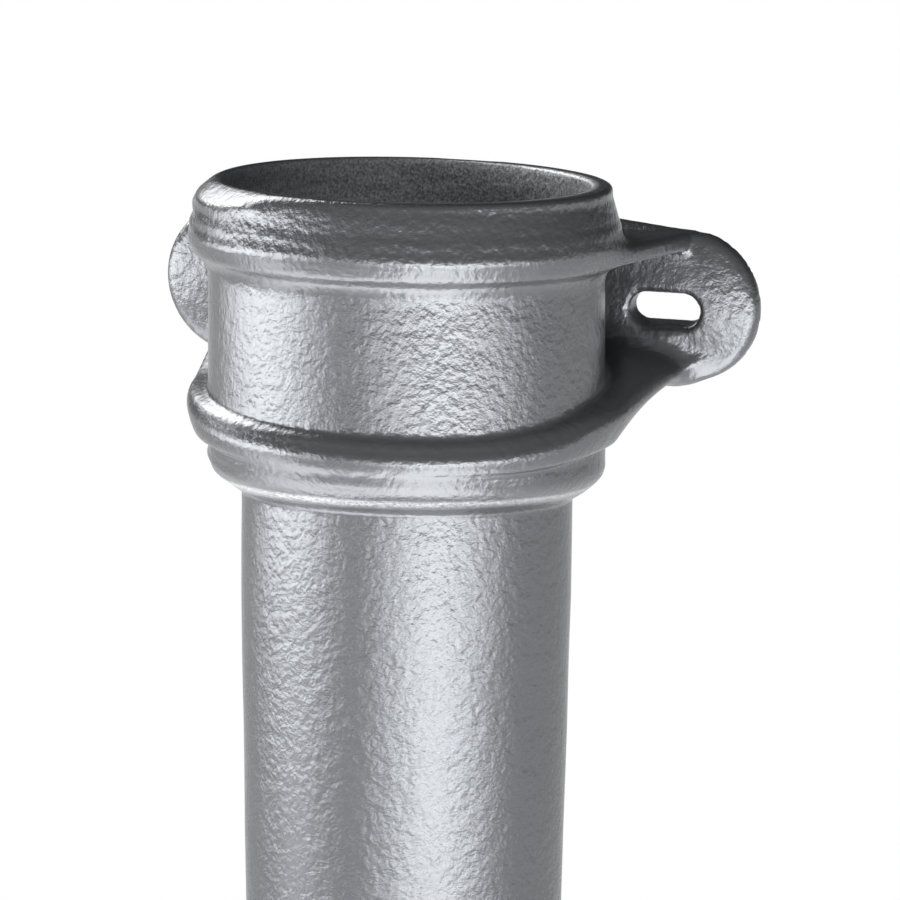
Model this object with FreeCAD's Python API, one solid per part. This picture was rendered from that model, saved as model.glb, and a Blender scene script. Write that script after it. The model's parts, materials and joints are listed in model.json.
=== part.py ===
"""Cast iron rainwater downpipe: a plain pipe with a collared socket and two fixing ears, cast in one piece.

The pipe stands on its spigot end, with its axis on Z and that end at Z = 0. The ears are at the back, on +Y,
where the wall is, and reach out along X. Depths in the socket are measured down from its rim.
"""
import FreeCAD, Part
import math
import os

# Pipe
pipe_length = 610.0         # spigot end to rim, the two foot length that such pipe is sold in
pipe_outer_d = 75.0         # 75 mm nominal size
pipe_wall = 3.5
neck_outer_d = 79.0         # below the socket, where the casting is thicker
neck_length = 21.0          # straight stretch of the neck
taper_length = 90.0         # from the neck to the plain pipe

# Socket
socket_bore_d = 88.5
socket_wall = 3.1
socket_depth = 64.0         # straight bore, rim to shoulder
shoulder_height = 7.0       # cone from the socket's bore to the pipe's
foot_drop = 3.0             # from the cone's end to where the outside meets the neck
foot_height = 7.5           # the round stretch from the socket's wall to the neck
foot_bulge = 1.5            # swell of that stretch
rim_chamfer = 1.2

# Top collar: a lip, a swelling, a quirk and a band, as projections from the wall of the socket and depths
lip_out = 2.2
lip_depth = 1.8
swell_out = 4.3
swell_depth = 7.4
quirk_out = 3.8
quirk_depth = 9.8
band_out = 3.2
band_depth = 16.0
collar_depth = 18.9
collar_bulge = 0.6          # swell of each of its curves

# Lower collar: a bead that starts as a fine ridge at the front and grows into an arm towards each ear.
# Heights are above the socket's shoulder, and projections are from the socket's wall, both at the front.
ridge_out = 2.65
ridge_height = 3.6
ridge_spread = 5.0          # how much further out it stands at the sides
ridge_rise = 9.9            # how much higher it is at the sides
crease_height = 8.6         # where its top meets the socket's wall
crease_rise = 8.9
bead_foot_out = 2.25
bead_foot_height = 1.8
bead_foot_spread = 1.2
bead_foot_rise = 2.4
bead_round = 0.6            # swell of the bead's outer face
cove_sag = 0.5              # hollow of its top face

# Ears: one plate across the back of the socket, with a round head at each end
wall_gap = 0.95             # from the back of the socket's wall to the plane of the ears' backs
ear_thickness = 8.0
ear_spacing = 112.4         # between the centres of the two heads
ear_head_r = 18.4
ear_depth = 32.4            # rim to the heads' centres
ear_top_slope = 6.0         # degrees, the plate's top edge rises towards the middle
ear_round = 2.0             # rounding of the plate's front edge

# Arms and shelves between the collars and the ears, where they meet the ears' faces
arm_end_out = 10.6
arm_end_drop = 14.0         # ridge, below the heads' centres
arm_crease_drop = 7.6       # top of the arm, below the heads' centres
arm_crown = 3.0             # swell of its top face
arm_foot_out = 7.3
shelf_start = 0.4           # where the upper shelf leaves the collar, forward of the axis, in socket radii
shelf_side_out = 5.2        # its edge at the socket's side
shelf_end_out = 10.8        # and at the ear's face
shelf_depth = 15.3          # its top
shelf_thickness = 4.0
shelf_round = 1.2           # rounding of its top edge
arm_shares = [0.2, 0.4, 0.6, 0.8, 1.0]   # where the arm's sections stand, from the socket's side to the ear
front_angles = [0, 20, 45, 72, 90]       # and the bead's, in degrees from the front

# Fixing slots
slot_spacing = 104.4
slot_length = 17.3
slot_width = 6.7
slot_depth = 32.0
slot_chamfer = 1.0          # on the slot's front edge

# Worked out from the above
pipe_r = pipe_outer_d / 2
pipe_bore_r = pipe_r - pipe_wall
neck_r = neck_outer_d / 2
socket_bore_r = socket_bore_d / 2
socket_r = socket_bore_r + socket_wall
shoulder_depth = socket_depth + shoulder_height
socket_height = shoulder_depth + foot_drop
wall_y = socket_r + wall_gap
ear_front_y = wall_y - ear_thickness
overlap = 1.0               # how far a form is sunk into the one that carries it


def level(depth):
    """Height of a point at this depth below the rim."""
    return pipe_length - depth


def point(radius, depth):
    """Point of the turned profile, in the XZ plane."""
    return FreeCAD.Vector(radius, 0, level(depth))


def line(start, end):
    return Part.LineSegment(start, end).toShape()


def arc(start, end, bulge):
    """Arc between two points, with its middle off the chord by the vector bulge."""
    return Part.Arc(start, (start + end) * 0.5 + bulge, end).toShape()


def turned(edges):
    """Solid of revolution about Z from a closed profile."""
    return Part.Face(Part.Wire(edges)).revolve(FreeCAD.Vector(0, 0, 0), FreeCAD.Vector(0, 0, 1), 360)


def chain(points):
    """Straight edges through the points, in order."""
    return [line(start, end) for start, end in zip(points, points[1:])]


def outer_form():
    """Pipe, socket and top collar as one turned solid, without its bore."""
    rim_inner = point(0, 0)
    rim_edge = point(socket_r + lip_out - rim_chamfer, 0)
    lip_top = point(socket_r + lip_out, rim_chamfer)
    lip_foot = point(socket_r + lip_out, lip_depth)
    swell = point(socket_r + swell_out, swell_depth)
    quirk = point(socket_r + quirk_out, quirk_depth)
    band = point(socket_r + band_out, band_depth)
    collar_foot = point(socket_r, collar_depth)
    foot_top = point(socket_r, socket_height - foot_height)
    foot = point(neck_r, socket_height)
    neck_end = point(neck_r, socket_height + neck_length)
    taper_end = point(pipe_r, socket_height + neck_length + taper_length)
    spigot_end = point(pipe_r, pipe_length)
    spigot_inner = point(0, pipe_length)
    out = FreeCAD.Vector(1, 0, 0)
    down = FreeCAD.Vector(0, 0, -1)
    edges = [
        line(rim_inner, rim_edge),
        line(rim_edge, lip_top),
        line(lip_top, lip_foot),
        line(lip_foot, swell),
        arc(swell, quirk, out * collar_bulge),
        arc(quirk, band, out * collar_bulge),
        arc(band, collar_foot, (out + down) * collar_bulge),
        line(collar_foot, foot_top),
        arc(foot_top, foot, (out + down) * foot_bulge),
        line(foot, neck_end),
        line(neck_end, taper_end),
        line(taper_end, spigot_end),
        line(spigot_end, spigot_inner),
        line(spigot_inner, rim_inner),
    ]
    return turned(edges)


def bore_form():
    """Hollow of the socket, its conical shoulder and the pipe's bore, open at both ends."""
    edges = chain([
        point(0, -overlap),
        point(socket_bore_r, -overlap),
        point(socket_bore_r, socket_depth),
        point(pipe_bore_r, shoulder_depth),
        point(pipe_bore_r, pipe_length + overlap),
        point(0, pipe_length + overlap),
        point(0, -overlap),
    ])
    return turned(edges)


def bead_section(centre, outward, inner, crease, ridge, foot, crown):
    """Closed section of the bead in the plane of Z and outward.

    The crease is a depth, at the distance inner from centre; ridge and foot are (distance, depth) pairs. The
    top face swells by crown, or is hollow where that is negative.
    """
    def place(out, depth):
        return centre + outward * out + FreeCAD.Vector(0, 0, level(depth))

    up = FreeCAD.Vector(0, 0, 1)
    inner_top = place(inner, crease)
    inner_foot = place(inner, foot[1])
    foot_edge = place(*foot)
    ridge_edge = place(*ridge)
    return Part.Wire([
        line(inner_foot, foot_edge),
        arc(foot_edge, ridge_edge, outward * bead_round),
        arc(ridge_edge, inner_top, (up + outward) * crown),
        line(inner_top, inner_foot),
    ])


def front_section(angle):
    """Section of the bead round the front: the angle is 0 at the front and 90 degrees at a side."""
    turn = math.radians(angle)
    lift = 1 - math.cos(turn)
    ridge = socket_r + ridge_out + ridge_spread * lift ** 2
    foot = socket_r + bead_foot_out + bead_foot_spread * lift
    return bead_section(
        FreeCAD.Vector(0, 0, 0),
        FreeCAD.Vector(math.sin(turn), -math.cos(turn), 0),
        socket_r - overlap,
        socket_depth - crease_height - crease_rise * lift,
        (ridge, socket_depth - ridge_height - ridge_rise * lift),
        (foot, socket_depth - bead_foot_height - bead_foot_rise * lift),
        -cove_sag,
    )


def arm_section(share, side):
    """Section of an arm, from the socket's side at share 0 to just inside the ear's face at share 1."""
    def between(start, end, weight=share):
        return start + (end - start) * weight

    back = (ear_front_y + overlap) * share
    ridge = socket_r + between(ridge_out + ridge_spread, arm_end_out)
    ridge_depth = between(socket_depth - ridge_height - ridge_rise, ear_depth + arm_end_drop)
    foot = socket_r + between(bead_foot_out + bead_foot_spread, arm_foot_out)
    side_foot_depth = socket_depth - bead_foot_height - bead_foot_rise
    end_foot_depth = ear_depth + ear_head_r - ear_round / 2
    foot_depth = between(side_foot_depth, end_foot_depth, 1 - (1 - share) ** 2)
    return bead_section(
        FreeCAD.Vector(0, back, 0),
        FreeCAD.Vector(side, 0, 0),
        math.sqrt(socket_r ** 2 - back ** 2) - overlap,
        between(socket_depth - crease_height - crease_rise, ear_depth + arm_crease_drop),
        (ridge, ridge_depth),
        (foot, foot_depth),
        between(-cove_sag, arm_crown),
    )


def lower_collar():
    """Bead round the front and the arm at each side, as one loft from ear to ear."""
    def half(side):
        bead = [front_section(side * angle) for angle in front_angles]
        return bead + [arm_section(share, side) for share in arm_shares]

    return Part.makeLoft(half(-1)[:0:-1] + half(1), True, False)


def ear_outline():
    """Outline of the ear plate in the plane of its back: two round heads and the edges tangent to them."""
    slope = math.radians(ear_top_slope)

    def head(angle, side):
        x = ear_spacing / 2 + ear_head_r * math.cos(angle)
        return FreeCAD.Vector(side * x, wall_y, level(ear_depth) + ear_head_r * math.sin(angle))

    top = math.pi / 2 - slope
    foot = -math.pi / 2
    right_top, left_top = head(top, 1), head(top, -1)
    right_foot, left_foot = head(foot, 1), head(foot, -1)
    middle = FreeCAD.Vector(0, wall_y, right_top.z + right_top.x * math.tan(slope))
    return Part.Wire([
        line(middle, right_top),
        Part.Arc(right_top, head(0, 1), right_foot).toShape(),
        line(right_foot, left_foot),
        Part.Arc(left_foot, head(0, -1), left_top).toShape(),
        line(left_top, middle),
    ])


def ear_plate():
    """Both ears as one plate, with the edge of its front face rounded."""
    plate = Part.Face(ear_outline()).extrude(FreeCAD.Vector(0, -ear_thickness, 0))
    front = [edge for edge in plate.Edges if edge.CenterOfMass.y < ear_front_y + overlap]
    return plate.makeFillet(ear_round, front)


def upper_shelf():
    """Flat shelf behind the top collar that carries its lower band out to the ears."""
    side_x = socket_r + shelf_side_out
    end_x = socket_r + shelf_end_out
    start_y = -socket_r * shelf_start
    start_x = math.sqrt((socket_r + band_out) ** 2 - start_y ** 2) - overlap
    back_y = ear_front_y + overlap
    z = level(shelf_depth + shelf_thickness)

    def edge(side):
        points = [(start_x, start_y), (side_x, 0), (end_x, back_y)]
        curve = Part.BSplineCurve()
        curve.interpolate([FreeCAD.Vector(side * x, y, z) for x, y in points])
        return curve.toShape()

    right, left = edge(1), edge(-1)
    outline = Part.Wire(Part.sortEdges([
        right,
        line(right.Vertexes[-1].Point, left.Vertexes[-1].Point),
        left,
        line(left.Vertexes[0].Point, right.Vertexes[0].Point),
    ])[0])
    shelf = Part.Face(outline).extrude(FreeCAD.Vector(0, 0, shelf_thickness))

    def on_top_side(edge):
        middle = edge.CenterOfMass
        return abs(middle.x) > overlap and middle.z > z + shelf_thickness / 2 and edge.Length > shelf_thickness

    return shelf.makeFillet(shelf_round, [edge for edge in shelf.Edges if on_top_side(edge)])


def slot_outline(side, y, grow):
    """Outline of one fixing slot in the plane at y, horizontal with round ends, larger all round by grow."""
    half_width = slot_width / 2 + grow
    half_length = slot_length / 2 + grow
    half_run = half_length - half_width

    def at(dx, dz):
        return FreeCAD.Vector(side * slot_spacing / 2 + dx, y, level(slot_depth) + dz)

    return Part.Wire([
        line(at(-half_run, half_width), at(half_run, half_width)),
        Part.Arc(at(half_run, half_width), at(half_length, 0), at(half_run, -half_width)).toShape(),
        line(at(half_run, -half_width), at(-half_run, -half_width)),
        Part.Arc(at(-half_run, -half_width), at(-half_length, 0), at(-half_run, half_width)).toShape(),
    ])


def slot_form(side):
    """Cutter for one fixing slot, through the plate and past both its faces, flared at the front edge."""
    through = Part.Face(slot_outline(side, wall_y + overlap, 0))
    through = through.extrude(FreeCAD.Vector(0, -ear_thickness - overlap, 0))
    flare = Part.makeLoft([
        slot_outline(side, ear_front_y + slot_chamfer, 0),
        slot_outline(side, ear_front_y - overlap, slot_chamfer + overlap),
    ], True, True)
    return through.fuse(flare)


def behind_wall():
    """Everything behind the plane of the ears' backs."""
    reach = ear_spacing + 4 * ear_head_r
    return Part.makeBox(reach, reach, pipe_length + 2 * reach, FreeCAD.Vector(-reach / 2, wall_y, -reach))


def downpipe():
    casting = outer_form().fuse([ear_plate(), upper_shelf(), lower_collar()])
    casting = casting.cut([bore_form(), behind_wall(), slot_form(1), slot_form(-1)])
    return casting.removeSplitter().Solids[0]


os.makedirs("parts", exist_ok=True)
casting = downpipe()
casting.exportStep("parts/downpipe.step")
print("valid", casting.isValid(), "volume cm3", round(casting.Volume / 1000, 1))
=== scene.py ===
import json
import math

import bpy
import numpy as np
from mathutils import Matrix, Vector


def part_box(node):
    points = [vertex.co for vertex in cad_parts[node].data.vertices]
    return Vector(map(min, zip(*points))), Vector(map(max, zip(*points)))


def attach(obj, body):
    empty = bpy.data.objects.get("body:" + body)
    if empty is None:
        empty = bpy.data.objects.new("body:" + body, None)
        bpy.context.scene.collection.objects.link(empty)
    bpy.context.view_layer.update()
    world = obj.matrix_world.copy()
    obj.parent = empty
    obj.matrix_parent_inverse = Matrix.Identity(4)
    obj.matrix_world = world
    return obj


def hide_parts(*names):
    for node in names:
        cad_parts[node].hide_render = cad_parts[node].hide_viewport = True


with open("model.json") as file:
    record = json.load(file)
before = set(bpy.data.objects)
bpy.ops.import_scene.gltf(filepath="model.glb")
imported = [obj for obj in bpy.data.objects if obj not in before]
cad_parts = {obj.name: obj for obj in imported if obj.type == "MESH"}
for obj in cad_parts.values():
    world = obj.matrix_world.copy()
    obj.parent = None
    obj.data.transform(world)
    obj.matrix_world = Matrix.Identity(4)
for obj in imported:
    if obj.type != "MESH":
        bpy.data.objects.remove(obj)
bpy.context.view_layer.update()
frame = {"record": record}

# The downpipe: one iron casting, poured in a sand mould and left with the sand's rough skin. Pipe, socket,
# moulded collars, the arms and shelf at the back and the two slotted ears run into each other with small
# cast fillets. It is worked out in millimetres, as one field over a grid round the pipe's axis.
MM = 0.001
part_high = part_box("downpipe")[1]
mounts = {mount["name"]: mount for mount in frame["record"]["mounts"]}
RIM_Z = part_high[2] / MM
WALL_Y = part_high[1] / MM

PIPE_R = mounts["spigot"]["dims"]["r_mm"]
PIPE_WALL = 3.5
PIPE_BORE_R = PIPE_R - PIPE_WALL
NECK_R = 39.5
NECK_END = 95.0
TAPER_END = 185.0

SOCKET_BORE_R = mounts["socket"]["dims"]["r_mm"]
SOCKET_DEPTH = mounts["socket"]["dims"]["length_mm"]
SOCKET_R = SOCKET_BORE_R + 3.1
SHOULDER_DEPTH = SOCKET_DEPTH + 7.0

# Outside of the turned body from the rim down, as depth and radius
BODY_PROFILE = np.array([
    (-10.0, SOCKET_R + 1.9),
    (0.8, SOCKET_R + 1.95),
    (2.7, SOCKET_R + 2.5),
    (4.6, SOCKET_R + 2.95),
    (6.2, SOCKET_R + 3.2),
    (7.6, SOCKET_R + 3.4),
    (9.8, SOCKET_R + 4.05),
    (11.2, SOCKET_R + 4.25),
    (12.6, SOCKET_R + 4.45),
    (13.8, SOCKET_R + 4.5),
    (15.2, SOCKET_R + 4.1),
    (16.8, SOCKET_R + 3.1),
    (18.4, SOCKET_R + 1.9),
    (20.2, SOCKET_R + 0.75),
    (22.0, SOCKET_R + 0.15),
    (23.5, SOCKET_R),
    (67.9, SOCKET_R),
    (69.4, SOCKET_R - 0.7),
    (71.0, SOCKET_R - 2.2),
    (72.8, SOCKET_R - 4.3),
    (74.3, SOCKET_R - 6.8),
    (74.8, NECK_R),
    (NECK_END, NECK_R),
    (TAPER_END, PIPE_R),
    (RIM_Z + 10.0, PIPE_R),
])
PROFILE_ROUND = 1.3
PROFILE_STEP = 0.1
PROFILE_MARGIN = 8.0
MOUTH_ROUND = 1.1
SPIGOT_ROUND = 1.2

# Turns are angles round the axis in radians, from the front towards the right
RIM_ROUND = 1.3
RIM_SLOPE = 1.2
RIM_BEVEL_OUT = 2.9
RIM_WEAR = 4.6
RIM_WEAR_TURN = -1.4
RIM_FLAT_TURN = math.radians(-48.0)
RIM_FLAT_R = 45.3
MOULDING_TILT = 2.0
MOULDING_TILT_RISE = (0.0, 2.0)
MOULDING_TILT_FADE = (5.0, 9.5)
GROOVE_HALF_WIDTH = 0.7
GROOVE_CUT = 0.16
FRONT_BAND = 1.9
FRONT_BAND_TURN = 0.9
FRONT_BAND_RISE = (57.0, 61.0)
FRONT_BAND_FADE = (63.0, 72.0)

LONG_WAVES = 0.05
STREAKS = 0.015
STREAKS_AT_LEFT = 0.105
LEFT_RISE = (0.3, 1.0)
LEFT_FADE = (2.0, 2.8)
TOP_COLLAR_FADE = (16.0, 22.0)
LOWER_COLLAR_RISE = (52.0, 60.0)
LOWER_COLLAR_FADE = (70.0, 80.0)
BORE_WAVES = 0.3
BORE_WAVES_TURN = 1.0

EAR_THICKNESS = 8.0
EAR_FRONT = WALL_Y - EAR_THICKNESS
EAR_X = 56.2
EAR_HEAD_R = 18.4
EAR_DEPTH = 31.8
EAR_TOP_SLOPE = math.radians(6.0)
EAR_TOP_DROP = 0.5
EAR_ROUND = 2.2
EAR_FILLETS = (0.6, 6.0)
EAR_FILLET_GROWS = (15.0, 26.0)
EAR_DOME_R = 68.0
EAR_DOME_X = 53.0
EAR_DOME_DEPTH = 31.0

SLOT_X = mounts["ear_slots"]["dims"]["spacing_x_mm"] / 2
SLOT_R = mounts["ear_slots"]["dims"]["hole_r_mm"]
SLOT_HALF_RUN = mounts["ear_slots"]["dims"]["slot_length_mm"] / 2 - SLOT_R
SLOT_DEPTH = 32.0
SLOT_FLARE = 2.0
SLOT_ROUND = 1.6
SLOT_STARTS = EAR_FRONT - 2.0

# Section of the lower collar: each as it is at the front, what the lift adds and what the share adds
RIDGE_OUT = (2.8, 4.6, 2.95)
RIDGE_UP = (5.3, 7.0, 5.3)
CREASE_UP = (8.6, 6.9, 6.0)
FOOT_OUT = (1.9, 1.4, 4.0)
FOOT_UP = (-0.4, 3.5, 11.1)
FOOT_BEND = 0.06
TOP_SWELL = (0.4, 3.8)
OUTER_SWELL = 0.6
LEFT_ARM_RISE = 3.5
ARM_END = EAR_FRONT + 1.0
ROOT_INSET = 1.0
ROOT_LEAST_X = 20.0
RIDGE_ROUND = 2.6
BEAD_FOOT_ROUND = 1.2
CREASE_FILLET = 1.0
BEAD_FOOT_FILLET = 1.5
ARM_FILLET = 4.5
BEAD_TURN = math.radians(20.0)
BEAD_TURN_AT = 0.5
BEAD_TURN_SPREAD = 0.87
BEAD_TURN_FADE = (1.05, 1.57)

SHELF_DEPTH = 16.1
SHELF_HALF_THICKNESS = 2.2
SHELF_BAND_R = 50.8
SHELF_LEAVES_AT = -8.5
SHELF_SPLAY = 0.17
SHELF_ROUND = 2.0
SHELF_FILLET = 3.0

# How far the mould shifted: the socket leans a little, with its left side up and its rim to the left
SKEW = -0.016
RIM_SHIFT = 0.9
RISE = 0.6
SKEW_FADE = (76.0, 100.0)

ANGLES = 226
EAR_BEARINGS = (math.radians(40.0), math.radians(140.0))
EAR_SPREAD = math.radians(17.0)
EAR_CROWDING = 1.1
RADIUS_STEP = 0.8
INNER_MARGIN = 2.4
OUTER_R = 90.5
COLLAR_STEP = 0.7
EAR_STEP = 1.0
SPIGOT_STEP = 0.9
PIPE_ROWS = 38

SLOPE_REACH = 0.05
LEAST_SLOPE = 0.05
SETTLING_STEPS = 4
LONGEST_MOVE = 0.5


def rounded_max(a, b, size):
    """Larger of two fields, with the corner between them rounded over the given size."""
    near = np.maximum(size - np.abs(a - b), 0.0)
    return np.maximum(a, b) + near * near / (4.0 * size)


def rounded_min(a, b, size):
    """Smaller of two fields, with a fillet of the given size where they cross."""
    return -rounded_max(-a, -b, size)


def ramp(value, start, end):
    """Smooth step from 0 at start to 1 at end."""
    t = np.clip((value - start) / (end - start), 0.0, 1.0)
    return t * t * (3.0 - 2.0 * t)


def rounded_profile():
    """The body's profile on a fine table of depths, with its corners softened by a moving average."""
    depths = np.arange(-PROFILE_MARGIN, RIM_Z + PROFILE_MARGIN, PROFILE_STEP)
    radii = np.interp(depths, BODY_PROFILE[:, 0], BODY_PROFILE[:, 1])
    window = np.hanning(int(PROFILE_ROUND * 2 / PROFILE_STEP))
    padded = np.pad(radii, len(window), mode="edge")
    softened = np.convolve(padded, window / window.sum(), mode="same")
    return depths, softened[len(window):-len(window)]


PROFILE_DEPTHS, PROFILE_RADII = rounded_profile()


def collar_waves(turn, depth):
    """Unevenness of the hand-finished mould, as sums of sines round and along the casting.

    Long shallow waves run over all of it. Shorter streaks show on both collars, and most at the left.
    """
    top_collar = 1.0 - ramp(depth, *TOP_COLLAR_FADE)
    lower_collar = ramp(depth, *LOWER_COLLAR_RISE) * (1.0 - ramp(depth, *LOWER_COLLAR_FADE))
    collars = top_collar + lower_collar
    long_waves = np.sin(3 * turn + 0.11 * depth) + 0.7 * np.sin(7 * turn - 0.19 * depth + 1.3)
    steep_streaks = np.sin(5 * turn + 1.25 * depth + 0.6 * np.sin(4 * turn))
    streaks = steep_streaks + 0.8 * np.sin(11 * turn - 1.7 * depth + 2.0)
    at_left = ramp(-turn, *LEFT_RISE) * (1.0 - ramp(-turn, *LEFT_FADE))
    return LONG_WAVES * long_waves + (STREAKS + STREAKS_AT_LEFT * at_left) * collars * streaks


def groove(turn, depth, middle, waves, phase):
    """Faint groove round the lower collar, deeper and shallower in turn on its way round, up to 1."""
    return np.exp(-((depth - middle) / GROOVE_HALF_WIDTH) ** 2) * (0.6 + 0.4 * np.sin(waves * turn + phase))


def turned_body(turn, radius, depth):
    """Pipe, socket and top collar: radius less the profile's radius at that depth.

    The collar's upper mouldings lie higher at the left. The lower collar has a low band at the front and two
    grooves. The rim is cut off by a slope, deepest at the left, and by a flat worn patch beside that.
    """
    tilt = MOULDING_TILT * np.sin(turn) * (1.0 - ramp(depth, *MOULDING_TILT_FADE))
    tilt = tilt * ramp(depth, *MOULDING_TILT_RISE)
    outside = np.interp(depth - tilt, PROFILE_DEPTHS, PROFILE_RADII)
    grooves = groove(turn, depth, 64.6, 2, 0.4) + groove(turn, depth, 68.2, 3, 2.0)
    front = FRONT_BAND * np.exp(-(turn / FRONT_BAND_TURN) ** 2)
    band = front * ramp(depth, *FRONT_BAND_RISE) * (1.0 - ramp(depth, *FRONT_BAND_FADE))
    side = radius - outside - band + GROOVE_CUT * grooves - collar_waves(turn, depth)
    rim = rounded_max(side, -depth, RIM_ROUND)
    wear = RIM_WEAR * np.exp(-(turn - RIM_WEAR_TURN) ** 2)
    slant = math.hypot(1.0, RIM_SLOPE)
    bevel = (radius - SOCKET_R - RIM_BEVEL_OUT + wear - RIM_SLOPE * depth) / slant
    flat = (radius * np.cos(turn - RIM_FLAT_TURN) - RIM_FLAT_R - RIM_SLOPE * depth) / slant
    return rounded_max(rounded_max(rim, bevel, RIM_ROUND), flat, RIM_ROUND)


def bead_and_arms(x, y, radius, depth):
    """Lower collar: a section of three faces that grows from the front round to the ears.

    Round the front it follows the angle, through lift = 1 - cos(angle), and is lowest a little to the right
    of the middle. Behind the axis it runs straight back to the ears, by share of that way, and a little
    higher at the left. The faces are the top, from the crease on the body to the ridge, the outer face from
    the ridge to the foot, and the level foot. The fillet to the body is given with it.
    """
    behind = y > 0
    turn = np.arctan2(x, -y)
    off_middle = np.exp(-((turn - BEAD_TURN_AT) / BEAD_TURN_SPREAD) ** 2)
    late = BEAD_TURN * off_middle * (1.0 - ramp(np.abs(turn), *BEAD_TURN_FADE))
    lift = np.where(behind, 1.0, 1.0 - np.cos(turn - late))
    share = np.clip(y / ARM_END, 0.0, 1.0)
    left_rise = np.where(x < 0, LEFT_ARM_RISE * np.sin(math.pi * share) ** 2, 0.0)
    foot_share = (1.0 + FOOT_BEND) * share ** 2 / (share + FOOT_BEND)
    out = np.where(behind, np.abs(x), radius) - SOCKET_R
    body_x = np.sqrt(np.maximum(SOCKET_R ** 2 - y ** 2, ROOT_LEAST_X ** 2))
    root = np.where(behind, body_x - SOCKET_R, 0.0) - ROOT_INSET
    ridge_out = RIDGE_OUT[0] + RIDGE_OUT[1] * lift ** 2 + RIDGE_OUT[2] * share
    ridge = SOCKET_DEPTH - RIDGE_UP[0] - RIDGE_UP[1] * lift - RIDGE_UP[2] * share - left_rise
    crease = SOCKET_DEPTH - CREASE_UP[0] - CREASE_UP[1] * lift - CREASE_UP[2] * share - left_rise
    foot_out = FOOT_OUT[0] + FOOT_OUT[1] * lift + FOOT_OUT[2] * share
    foot = SOCKET_DEPTH - FOOT_UP[0] - FOOT_UP[1] * lift - FOOT_UP[2] * (1.0 - (1.0 - foot_share) ** 2)
    swell = TOP_SWELL[0] + TOP_SWELL[1] * share

    def face(start_out, start_depth, end_out, end_depth, bulge):
        """Distance outwards from the line between two points of the section, bulged in its middle."""
        along_out, along_depth = end_out - start_out, end_depth - start_depth
        from_out, from_depth = out - start_out, depth - start_depth
        length = np.sqrt(along_out ** 2 + along_depth ** 2)
        across = (from_out * along_depth - from_depth * along_out) / length
        place = np.clip((from_out * along_out + from_depth * along_depth) / length ** 2, 0.0, 1.0)
        return across - bulge * 4.0 * place * (1.0 - place)

    top = face(root, crease, ridge_out, ridge, swell)
    outer = face(ridge_out, ridge, foot_out, foot, OUTER_SWELL)
    section = rounded_max(top, outer, RIDGE_ROUND)
    front_fillet = CREASE_FILLET + (BEAD_FOOT_FILLET - CREASE_FILLET) * ramp(depth, ridge, foot)
    fillet = front_fillet + (ARM_FILLET - front_fillet) * share
    return rounded_max(section, depth - foot, BEAD_FOOT_ROUND), fillet


def upper_shelf(x, y, radius, depth):
    """Flat rib that leaves the top collar's band along a tangent and runs back to the ears."""
    start_x = math.sqrt(SHELF_BAND_R ** 2 - SHELF_LEAVES_AT ** 2)
    straight = (np.abs(x) - start_x - SHELF_SPLAY * (y - SHELF_LEAVES_AT)) / math.hypot(1.0, SHELF_SPLAY)
    plan = np.where(y < SHELF_LEAVES_AT, radius - SHELF_BAND_R, straight)
    return rounded_max(plan, np.abs(depth - SHELF_DEPTH) - SHELF_HALF_THICKNESS, SHELF_ROUND)


def ear_plate(x, y, depth):
    """Plate across the back: a domed round head at each end, a level foot, a top that rises inwards."""
    u, v = np.abs(x) - EAR_X, EAR_DEPTH - depth
    head = np.hypot(u, v) - EAR_HEAD_R
    top = u * math.sin(EAR_TOP_SLOPE) + v * math.cos(EAR_TOP_SLOPE) - EAR_HEAD_R + EAR_TOP_DROP
    past_tangent = np.where(v > 0, u * math.cos(EAR_TOP_SLOPE) - v * math.sin(EAR_TOP_SLOPE), u) > 0
    outline = np.maximum(np.where(past_tangent, head, -v - EAR_HEAD_R), top)
    spread = np.maximum(np.abs(x) - EAR_DOME_X, 0.0) ** 2 + (depth - EAR_DOME_DEPTH) ** 2
    return rounded_max(outline, EAR_FRONT - y + spread / (2.0 * EAR_DOME_R), EAR_ROUND)


def slots(x, y, depth):
    """Hollow of the fixing slots: level, with round ends and a foot that falls towards the front."""
    flare = SLOT_FLARE / 2.0 * np.clip((WALL_Y - y) / EAR_THICKNESS, 0.0, 1.0)
    run = np.maximum(np.abs(np.abs(x) - SLOT_X) - SLOT_HALF_RUN + flare, 0.0)
    return np.maximum(np.hypot(run, depth - SLOT_DEPTH - flare) - SLOT_R - flare, SLOT_STARTS - y)


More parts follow.
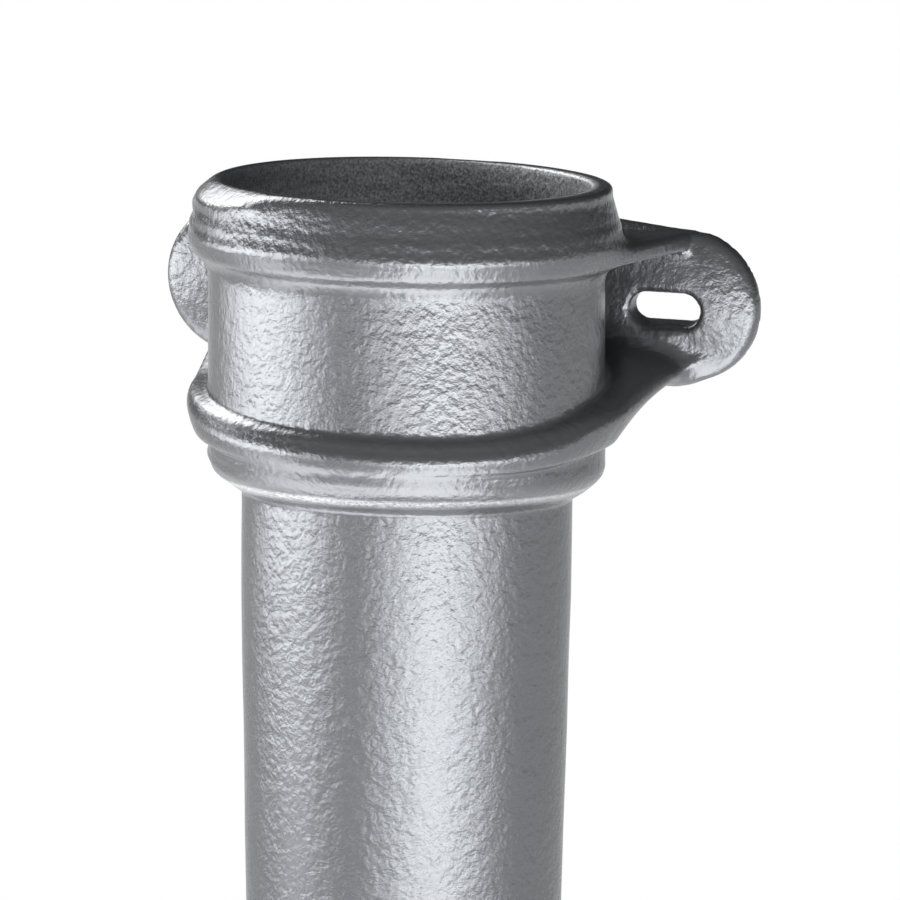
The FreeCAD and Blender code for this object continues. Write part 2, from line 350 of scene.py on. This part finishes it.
def casting_field(x, y, z):
    """Below zero in the iron: the forms joined with fillets, less bore, slots and all past the wall."""
    depth = RIM_Z - z
    lean = 1.0 - ramp(depth, *SKEW_FADE)
    depth = depth + (SKEW * x + RISE) * lean
    x = x + RIM_SHIFT * lean * (1.0 - np.clip(depth / SKEW_FADE[0], 0.0, 1.0))
    radius = np.maximum(np.hypot(x, y), 1e-6)
    turn = np.arctan2(x, -y)
    bead, bead_fillet = bead_and_arms(x, y, radius, depth)
    iron = rounded_min(turned_body(turn, radius, depth), bead, bead_fillet)
    iron = rounded_min(iron, upper_shelf(x, y, radius, depth), SHELF_FILLET)
    ear_fillet = EAR_FILLETS[0] + (EAR_FILLETS[1] - EAR_FILLETS[0]) * ramp(depth, *EAR_FILLET_GROWS)
    iron = rounded_min(iron, ear_plate(x, y, depth), ear_fillet)
    iron = rounded_max(iron, y - WALL_Y, SPIGOT_ROUND)
    iron = rounded_max(iron, -z, SPIGOT_ROUND)
    iron = rounded_max(iron, -slots(x, y, depth), SLOT_ROUND)
    bore_depths = (0.0, SOCKET_DEPTH, SHOULDER_DEPTH, RIM_Z)
    bore_radii = (SOCKET_BORE_R, SOCKET_BORE_R, PIPE_BORE_R, PIPE_BORE_R)
    bore_waves = BORE_WAVES * collar_waves(turn + BORE_WAVES_TURN, depth)
    bore = np.interp(depth, bore_depths, bore_radii) + bore_waves
    return rounded_max(iron, bore - radius, MOUTH_ROUND)


def grid_lines():
    """Angles, radii and heights of the grid: closer angles at the ears, closer heights in the collars."""
    fine = np.linspace(0.0, 2.0 * math.pi, 3601)
    ears = [np.exp(-((fine - bearing) / EAR_SPREAD) ** 2) for bearing in EAR_BEARINGS]
    travel = np.concatenate(([0.0], np.cumsum(1.0 + EAR_CROWDING * sum(ears))[:-1]))
    travel /= travel[-1] + travel[1]
    angles = np.interp(np.arange(ANGLES) / ANGLES, travel, fine)
    radii = np.arange(PIPE_BORE_R - INNER_MARGIN, OUTER_R, RADIUS_STEP)
    depths = np.concatenate((
        np.arange(-1.95, 20.0, COLLAR_STEP),
        np.arange(20.0, 52.0, EAR_STEP),
        np.arange(52.0, 77.0, COLLAR_STEP),
        np.linspace(77.5, RIM_Z - 6.0, PIPE_ROWS),
        np.arange(RIM_Z - 4.0, RIM_Z + 1.8, SPIGOT_STEP),
    ))
    return angles, radii, (RIM_Z - depths)[::-1]


def surface_of(field, angles, radii, heights):
    """Closed surface of a field by surface nets.

    Each grid cell that the surface crosses gets one point, the mean of where the surface crosses the cell's
    edges. Each grid edge that it crosses gets a four-sided face between the points of the four cells round
    it. A few steps along the field's slope then set every point on the surface.
    """
    theta, rho, height = np.meshgrid(angles, radii, heights, indexing="ij")
    values = field(rho * np.cos(theta), rho * np.sin(theta), height)
    inside = values < 0
    closing = np.append(angles, angles[0] + 2.0 * math.pi)

    wrapped = np.concatenate((values, values[:1]))
    corners = [(a, b, c) for a in (0, 1) for b in (0, 1) for c in (0, 1)]
    shape = tuple(n - 1 for n in wrapped.shape)
    spans = [tuple(slice(s, s + n) for s, n in zip(corner, shape)) for corner in corners]
    count = sum((wrapped[span] < 0).astype(np.int8) for span in spans)
    cells = np.nonzero((count > 0) & (count < len(corners)))
    at = {corner: wrapped[tuple(index + step for index, step in zip(cells, corner))] for corner in corners}

    total = np.zeros((3, len(cells[0])))
    hits = np.zeros(len(cells[0]))
    for start in corners:
        for axis in range(3):
            if start[axis] == 1:
                continue
            end = tuple(1 if k == axis else start[k] for k in range(3))
            crossed = (at[start] < 0) != (at[end] < 0)
            step = np.where(crossed, at[start] / np.where(crossed, at[start] - at[end], 1.0), 0.0)
            for k in range(3):
                total[k] += np.where(crossed, step if k == axis else start[k], 0.0)
            hits += crossed
    total /= hits
    lines = (closing, radii, heights)
    place = [line[i] + (line[i + 1] - line[i]) * t for line, i, t in zip(lines, cells, total)]
    points = np.stack((place[1] * np.cos(place[0]), place[1] * np.sin(place[0]), place[2]))

    for _ in range(SETTLING_STEPS):
        here = field(*points)
        slope = np.empty_like(points)
        for k in range(3):
            shift = np.zeros((3, 1))
            shift[k] = SLOPE_REACH
            slope[k] = (field(*(points + shift)) - field(*(points - shift))) / (2.0 * SLOPE_REACH)
        move = here * slope / np.maximum((slope ** 2).sum(axis=0), LEAST_SLOPE)
        points -= np.clip(move, -LONGEST_MOVE, LONGEST_MOVE)

    number = np.full(shape, -1)
    number[cells] = np.arange(len(cells[0]))
    faces = []
    for axis in range(3):
        ahead = np.roll(inside, -1, axis)
        crossed = inside != ahead
        if axis != 0:
            crossed[(slice(None),) * axis + (-1,)] = False
        i, j, k = np.nonzero(crossed)
        others = [other for other in range(3) if other != axis]
        ring = []
        for first, second in ((0, 0), (1, 0), (1, 1), (0, 1)):
            index = [i, j, k]
            index[others[0]] = index[others[0]] - 1 + first
            index[others[1]] = index[others[1]] - 1 + second
            index[0] = index[0] % len(angles)
            ring.append(number[tuple(index)])
        ring = np.stack(ring, axis=1)
        flip = inside[i, j, k] != (axis == 1)
        ring[flip] = ring[flip][:, ::-1]
        faces.append(ring)
    return points.T, np.concatenate(faces)


points, faces = surface_of(casting_field, *grid_lines())
casting_mesh = bpy.data.meshes.new("downpipe_casting")
casting_mesh.from_pydata((points * MM).tolist(), [], faces.tolist())
casting_mesh.validate()
casting_mesh.shade_smooth()
casting = bpy.data.objects.new("downpipe_casting", casting_mesh)
bpy.context.scene.collection.objects.link(casting)
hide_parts("downpipe")
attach(casting, "root")

# Finish: bare grey iron with a bright skin. The sand leaves irregular lumps of one to two millimetres, over
# longer swells of three to four. The bright skin ends at the mouth: down the socket's bore the iron is matt
# and speckled.
SKIN_COLOUR = (0.16, 0.165, 0.174, 1.0)
SPECKLE_STOPS = ((0.35, (0.2, 0.205, 0.217, 1.0)), (0.7, (0.58, 0.59, 0.61, 1.0)))
BORE_METALLIC, SKIN_METALLIC = 0.45, 0.8
BORE_ROUGHNESS, SKIN_ROUGHNESS = 0.42, 0.26
SKIN_STARTS = (SOCKET_BORE_R * MM + 0.0004, SOCKET_BORE_R * MM + 0.0014)
BORE_FOOT = (RIM_Z - SHOULDER_DEPTH) * MM
BORE_FOOT_FADE = 0.002
GRAIN_STRETCH = (1.0, 1.0, 0.9)
GRAIN_ROUGHNESS = 0.55
SWELL_SHARE = 0.8
RELIEF = 0.00026

iron = bpy.data.materials.new("cast_iron_skin")
iron.use_nodes = True
nodes, links = iron.node_tree.nodes, iron.node_tree.links
shader = nodes["Principled BSDF"]
coords = nodes.new("ShaderNodeTexCoord")
level = nodes.new("ShaderNodeVectorMath")
level.operation = "MULTIPLY"
level.inputs[1].default_value = (1.0, 1.0, 0.0)
from_axis = nodes.new("ShaderNodeVectorMath")
from_axis.operation = "LENGTH"
links.new(coords.outputs["Object"], level.inputs[0])
links.new(level.outputs["Vector"], from_axis.inputs[0])
place = nodes.new("ShaderNodeSeparateXYZ")
links.new(coords.outputs["Object"], place.inputs["Vector"])


def between(tree, value, start, end, low, high):
    """Map range in a node tree, from low at start to high at end."""
    node = tree.nodes.new("ShaderNodeMapRange")
    node.inputs["From Min"].default_value = start
    node.inputs["From Max"].default_value = end
    node.inputs["To Min"].default_value = low
    node.inputs["To Max"].default_value = high
    tree.links.new(value, node.inputs["Value"])
    return node.outputs["Result"]


past_bore = between(iron.node_tree, from_axis.outputs["Value"], *SKIN_STARTS, 0.0, 1.0)
below_bore = between(iron.node_tree, place.outputs["Z"], BORE_FOOT - BORE_FOOT_FADE, BORE_FOOT, 1.0, 0.0)
outside = nodes.new("ShaderNodeMath")
outside.operation = "MAXIMUM"
links.new(past_bore, outside.inputs[0])
links.new(below_bore, outside.inputs[1])
metallic = between(iron.node_tree, outside.outputs["Value"], 0.0, 1.0, BORE_METALLIC, SKIN_METALLIC)
roughness = between(iron.node_tree, outside.outputs["Value"], 0.0, 1.0, BORE_ROUGHNESS, SKIN_ROUGHNESS)
links.new(metallic, shader.inputs["Metallic"])
links.new(roughness, shader.inputs["Roughness"])
stretch = nodes.new("ShaderNodeMapping")
stretch.inputs["Scale"].default_value = GRAIN_STRETCH
links.new(coords.outputs["Object"], stretch.inputs["Vector"])


def grain(scale, detail):
    """Noise over the casting with features of about 1/scale metres."""
    node = nodes.new("ShaderNodeTexNoise")
    node.inputs["Scale"].default_value = scale
    node.inputs["Detail"].default_value = detail
    node.inputs["Roughness"].default_value = GRAIN_ROUGHNESS
    node.inputs["Distortion"].default_value = 0.0
    links.new(stretch.outputs["Vector"], node.inputs["Vector"])
    return node.outputs["Fac"]


speckle = nodes.new("ShaderNodeValToRGB")
for stop, (position, colour) in zip(speckle.color_ramp.elements, SPECKLE_STOPS):
    stop.position = position
    stop.color = colour
links.new(grain(1700.0, 2.5), speckle.inputs["Fac"])
tint = nodes.new("ShaderNodeMix")
tint.data_type = "RGBA"
links.new(speckle.outputs["Color"], tint.inputs[6])
tint.inputs[7].default_value = SKIN_COLOUR
links.new(outside.outputs["Value"], tint.inputs[0])
links.new(tint.outputs[2], shader.inputs["Base Color"])
relief = nodes.new("ShaderNodeMath")
relief.operation = "MULTIPLY_ADD"
relief.inputs[1].default_value = SWELL_SHARE
links.new(grain(280.0, 1.0), relief.inputs[0])
links.new(grain(700.0, 3.5), relief.inputs[2])
bump = nodes.new("ShaderNodeBump")
bump.inputs["Strength"].default_value = 1.0
bump.inputs["Distance"].default_value = RELIEF
links.new(relief.outputs["Value"], bump.inputs["Height"])
links.new(bump.outputs["Normal"], shader.inputs["Normal"])
casting_mesh.materials.append(iron)

# Floor: a pale round sheet that the pipe stands on. It glows a little, to be as bright as the ground beyond.
FLOOR_R = 2.2
FLOOR_Z = -0.0005
FLOOR_SIDES = 96
FLOOR_GLOW = 0.55
floor_mesh = bpy.data.meshes.new("floor")
turns = np.linspace(0.0, 2.0 * math.pi, FLOOR_SIDES, endpoint=False)
edge = np.stack((FLOOR_R * np.cos(turns), FLOOR_R * np.sin(turns), np.full(FLOOR_SIDES, FLOOR_Z)), axis=1)
floor_mesh.from_pydata(edge.tolist(), [], [list(range(FLOOR_SIDES))])
floor = bpy.data.objects.new("floor", floor_mesh)
bpy.context.scene.collection.objects.link(floor)
pale = bpy.data.materials.new("pale_floor")
pale.use_nodes = True
pale_shader = pale.node_tree.nodes["Principled BSDF"]
pale_shader.inputs["Base Color"].default_value = (0.8, 0.8, 0.8, 1.0)
pale_shader.inputs["Roughness"].default_value = 0.9
pale_shader.inputs["Emission Color"].default_value = (1.0, 1.0, 1.0, 1.0)
pale_shader.inputs["Emission Strength"].default_value = FLOOR_GLOW
floor_mesh.materials.append(pale)

# Camera at the photo's angle: the rim's centre is set on its pixel, at a known number of pixels to the metre
PHOTO_SIZE = 900
AXIS_PIXEL_X = 409.6
RIM_PIXEL_Y = 182.7
PIXELS_PER_M = 4200.0
SENSOR = 36.0
DISTANCE = 3.2
AZIMUTH = math.radians(16.8)
ELEVATION = math.radians(7.6)
ROLL = math.radians(-0.5)
right = Vector((math.cos(AZIMUTH), math.sin(AZIMUTH), 0.0))
look = Vector((
    -math.sin(AZIMUTH) * math.cos(ELEVATION),
    math.cos(AZIMUTH) * math.cos(ELEVATION),
    -math.sin(ELEVATION),
))
up = right.cross(look)
roll = Matrix.Rotation(ROLL, 3, look)
right, up = roll @ right, roll @ up
rim_centre = Vector((0.0, 0.0, RIM_Z * MM))
aside = right * (PHOTO_SIZE / 2 - AXIS_PIXEL_X) / PIXELS_PER_M
below = up * (PHOTO_SIZE / 2 - RIM_PIXEL_Y) / PIXELS_PER_M
camera = bpy.data.objects.new("camera", bpy.data.cameras.new("camera"))
bpy.context.scene.collection.objects.link(camera)
turn = Matrix((right, up, -look)).transposed().to_4x4()
camera.matrix_world = Matrix.Translation(rim_centre + aside - below - look * DISTANCE) @ turn
camera.data.sensor_width = SENSOR
camera.data.lens = SENSOR * PIXELS_PER_M * DISTANCE / PHOTO_SIZE
bpy.context.scene.camera = camera
bpy.context.scene.view_settings.view_transform = "Standard"

# Light: a soft box at the left, a lower and wider one in front to the right, a high one behind at the left,
# and two panels that lie on the floor below the first two. The ground is white, with grey to both sides of
# the white behind the part. The ceiling is dark, and lighter to the front.
BOX_LAYERS = ((1.5, 1.15), (1.0, 1.0), (0.55, 0.85))
LAYER_GAP = 0.005
PANEL_NEAR = 0.08
PANEL_FAR = 1.6
PANEL_WIDTH = 0.5
PANEL_Z = 0.01
HORIZON = 0.07
CEILING_BACK, CEILING_FRONT = 0.03, 0.33
GROUND_STOPS = ((0.2, 1.0), (0.72, 0.65), (0.92, 0.65), (0.985, 1.0))


def soft_box(name, bearing, distance, height, aim, size, brightness):
    """Area lamps that face the axis at the height aim; the bearing is from the front towards the right.

    Three sheets, each narrower than the one behind it, make the box fade towards its ends.
    """
    angle = math.radians(bearing)
    for layer, (wide, tall) in enumerate(BOX_LAYERS):
        lamp = bpy.data.lights.new(f"{name}_{layer}", "AREA")
        lamp.shape = "RECTANGLE"
        lamp.size, lamp.size_y = size[0] * wide, size[1] * tall
        lamp.energy = brightness / len(BOX_LAYERS) * math.pi * lamp.size * lamp.size_y
        box = bpy.data.objects.new(lamp.name, lamp)
        out = distance - LAYER_GAP * layer
        box.location = (out * math.sin(angle), -out * math.cos(angle), height)
        box.rotation_euler = (Vector((0.0, 0.0, aim)) - box.location).to_track_quat("-Z", "Y").to_euler()
        box.visible_camera = False
        bpy.context.scene.collection.objects.link(box)


soft_box("left_box", -69.5, 0.8, 0.548, 0.548, (0.9, 0.3), 6.0)
soft_box("front_box", 37.5, 0.8, 0.38, 0.38, (1.15, 0.22), 6.4)
soft_box("back_box", -117.0, 1.0, 1.35, 0.6, (0.66, 0.9), 8.0)


def floor_panel(name, bearing, brightness):
    """Area lamp that lies on the floor along a bearing and faces up."""
    lamp = bpy.data.lights.new(name, "AREA")
    lamp.shape = "RECTANGLE"
    lamp.size, lamp.size_y = PANEL_WIDTH, PANEL_FAR - PANEL_NEAR
    lamp.energy = brightness * math.pi * lamp.size * lamp.size_y
    panel = bpy.data.objects.new(name, lamp)
    angle = math.radians(bearing)
    middle = (PANEL_NEAR + PANEL_FAR) / 2.0
    panel.location = (middle * math.sin(angle), -middle * math.cos(angle), PANEL_Z)
    panel.rotation_euler = (math.pi, 0.0, angle)
    panel.visible_camera = False
    bpy.context.scene.collection.objects.link(panel)


floor_panel("front_panel", 37.0, 3.6)
floor_panel("left_panel", -69.5, 2.3)

world = bpy.data.worlds.new("studio")
bpy.context.scene.world = world
world.use_nodes = True
sky_nodes, sky_links = world.node_tree.nodes, world.node_tree.links
direction = sky_nodes.new("ShaderNodeTexCoord")


def along(x, y):
    """How far a direction of the world points along a level one: the dot product of the two."""
    node = sky_nodes.new("ShaderNodeVectorMath")
    node.operation = "DOT_PRODUCT"
    node.inputs[1].default_value = (x, y, 0.0)
    sky_links.new(direction.outputs["Generated"], node.inputs[0])
    return node.outputs["Value"]


to_front = along(math.sin(AZIMUTH), -math.cos(AZIMUTH))
to_back = along(-math.sin(AZIMUTH), math.cos(AZIMUTH))
split = sky_nodes.new("ShaderNodeSeparateXYZ")
sky_links.new(direction.outputs["Generated"], split.inputs["Vector"])
ground = sky_nodes.new("ShaderNodeValToRGB")
ground.color_ramp.elements[0].position = GROUND_STOPS[0][0]
ground.color_ramp.elements[1].position = GROUND_STOPS[-1][0]
for position, _ in GROUND_STOPS[1:-1]:
    ground.color_ramp.elements.new(position)
for stop, (_, grey) in zip(ground.color_ramp.elements, GROUND_STOPS):
    stop.color = (grey, grey, grey, 1.0)
sky_links.new(to_back, ground.inputs["Fac"])
ceiling = between(world.node_tree, to_front, -1.0, 1.0, CEILING_BACK, CEILING_FRONT)
above = between(world.node_tree, split.outputs["Z"], -HORIZON, HORIZON, 0.0, 1.0)
sky = sky_nodes.new("ShaderNodeMix")
sky_links.new(ground.outputs["Color"], sky.inputs["A"])
sky_links.new(ceiling, sky.inputs["B"])
sky_links.new(above, sky.inputs["Factor"])
sky_links.new(sky.outputs["Result"], sky_nodes["Background"].inputs["Strength"])
sky_nodes["Background"].inputs["Color"].default_value = (1.0, 1.0, 1.0, 1.0)
